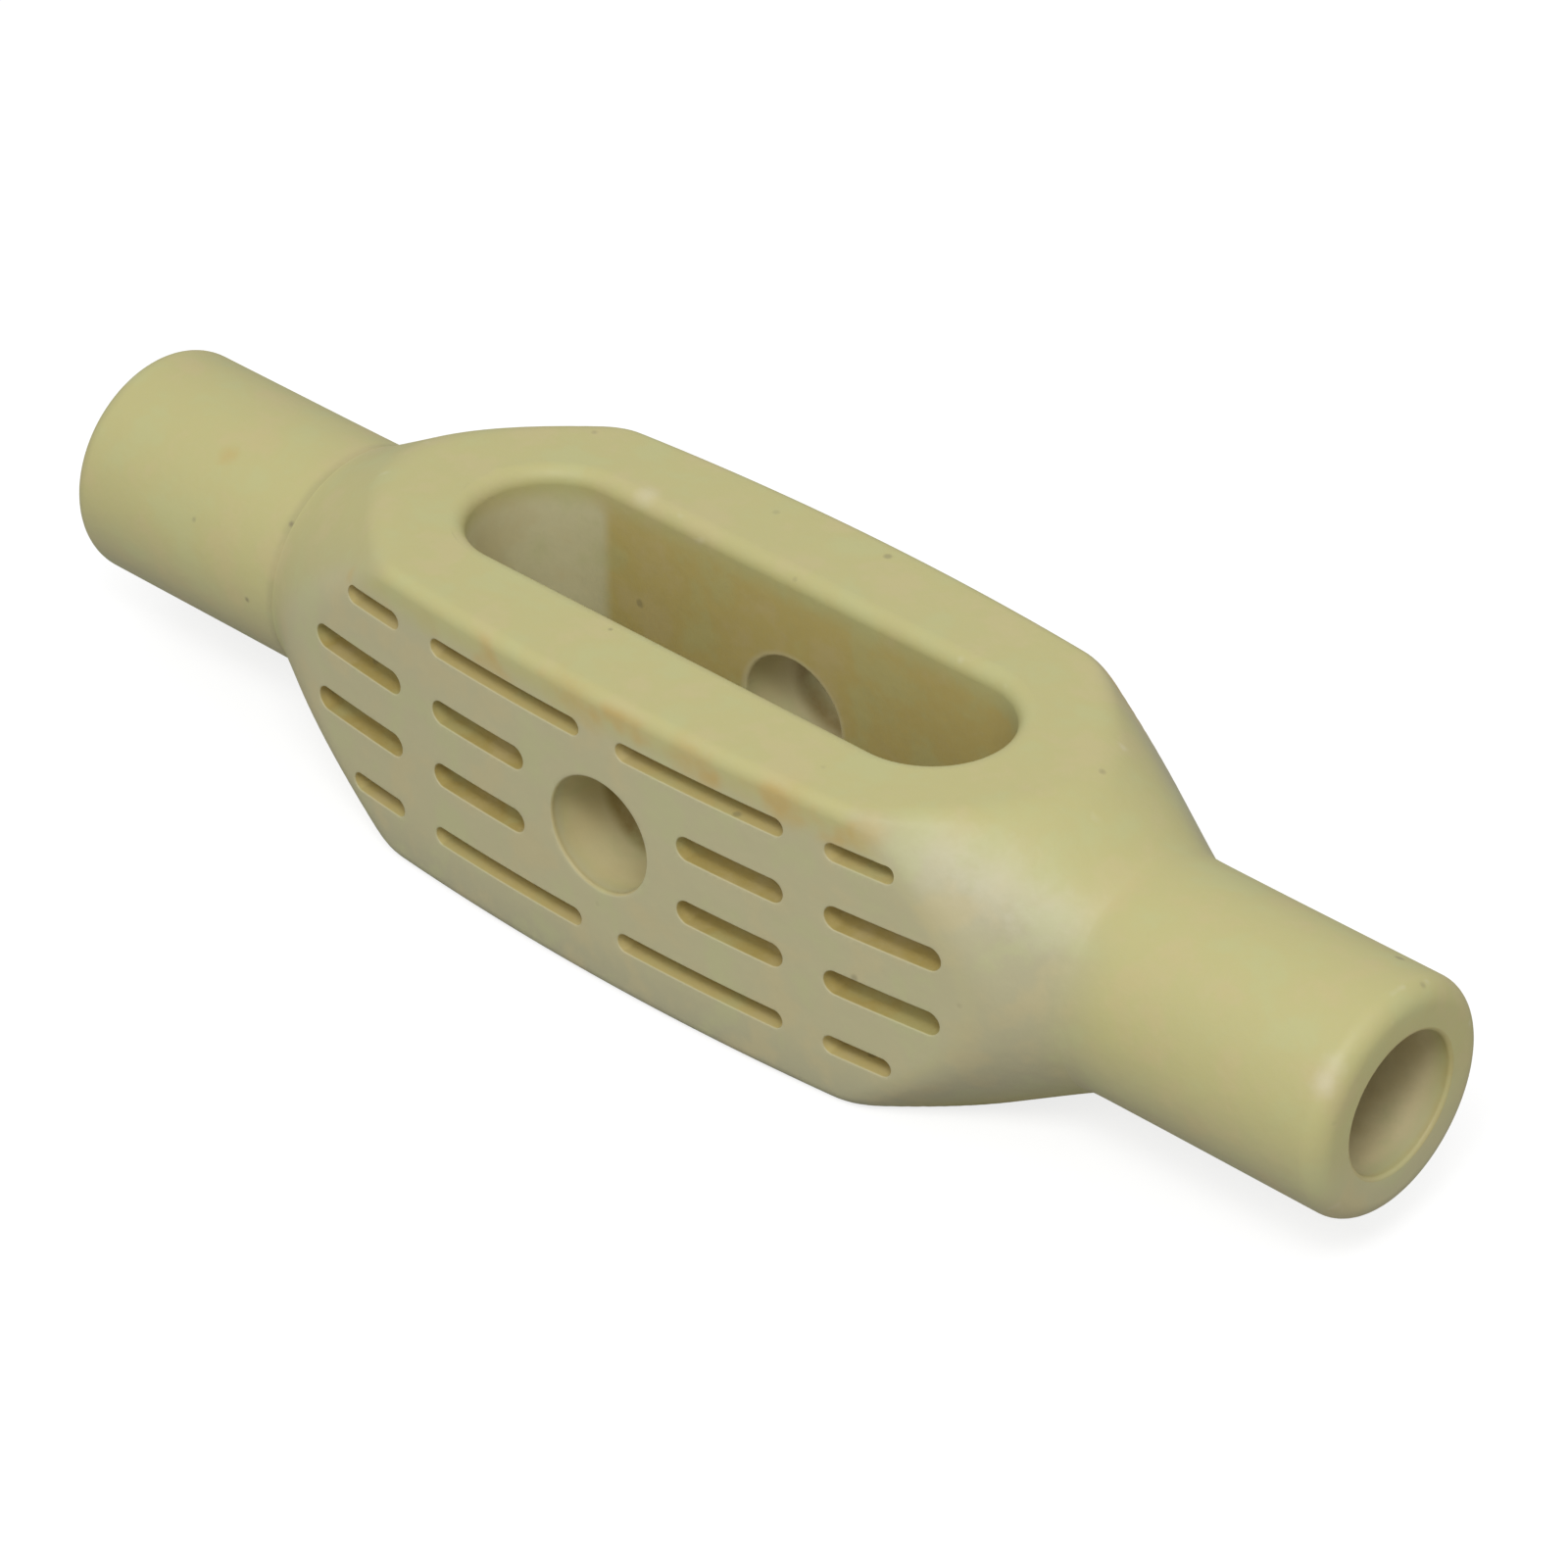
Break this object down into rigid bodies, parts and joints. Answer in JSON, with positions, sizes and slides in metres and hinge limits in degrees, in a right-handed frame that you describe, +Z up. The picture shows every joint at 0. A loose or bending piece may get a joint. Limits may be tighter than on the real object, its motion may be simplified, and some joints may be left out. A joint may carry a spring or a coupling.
{
  "type": "air stone",
  "caption": "In-line air stone: coned diffuser block with a window through it, a cross hole, grooved bowed sides and a hose neck at each end.",
  "frame": {"origin": "where the hose line meets the axis of the cross hole, at the middle of the block", "axes": "+X along the hose line, towards the right neck; +Y along the cross hole; +Z up, out of the window"},
  "size_m": [0.1342, 0.032, 0.028],
  "materials": {
    "stone": "satin, fine-grained, pale greenish cream, with sparse dark specks",
    "neck": "smooth satin, pale greenish cream",
    "seal": "matt black"
  },
  "bodies": {
    "root": {"diffuser_block": "stone", "right_neck": "neck", "right_seal_ring": "seal", "left_neck": "neck", "left_seal_ring": "seal"}
  },
  "joints": []
}
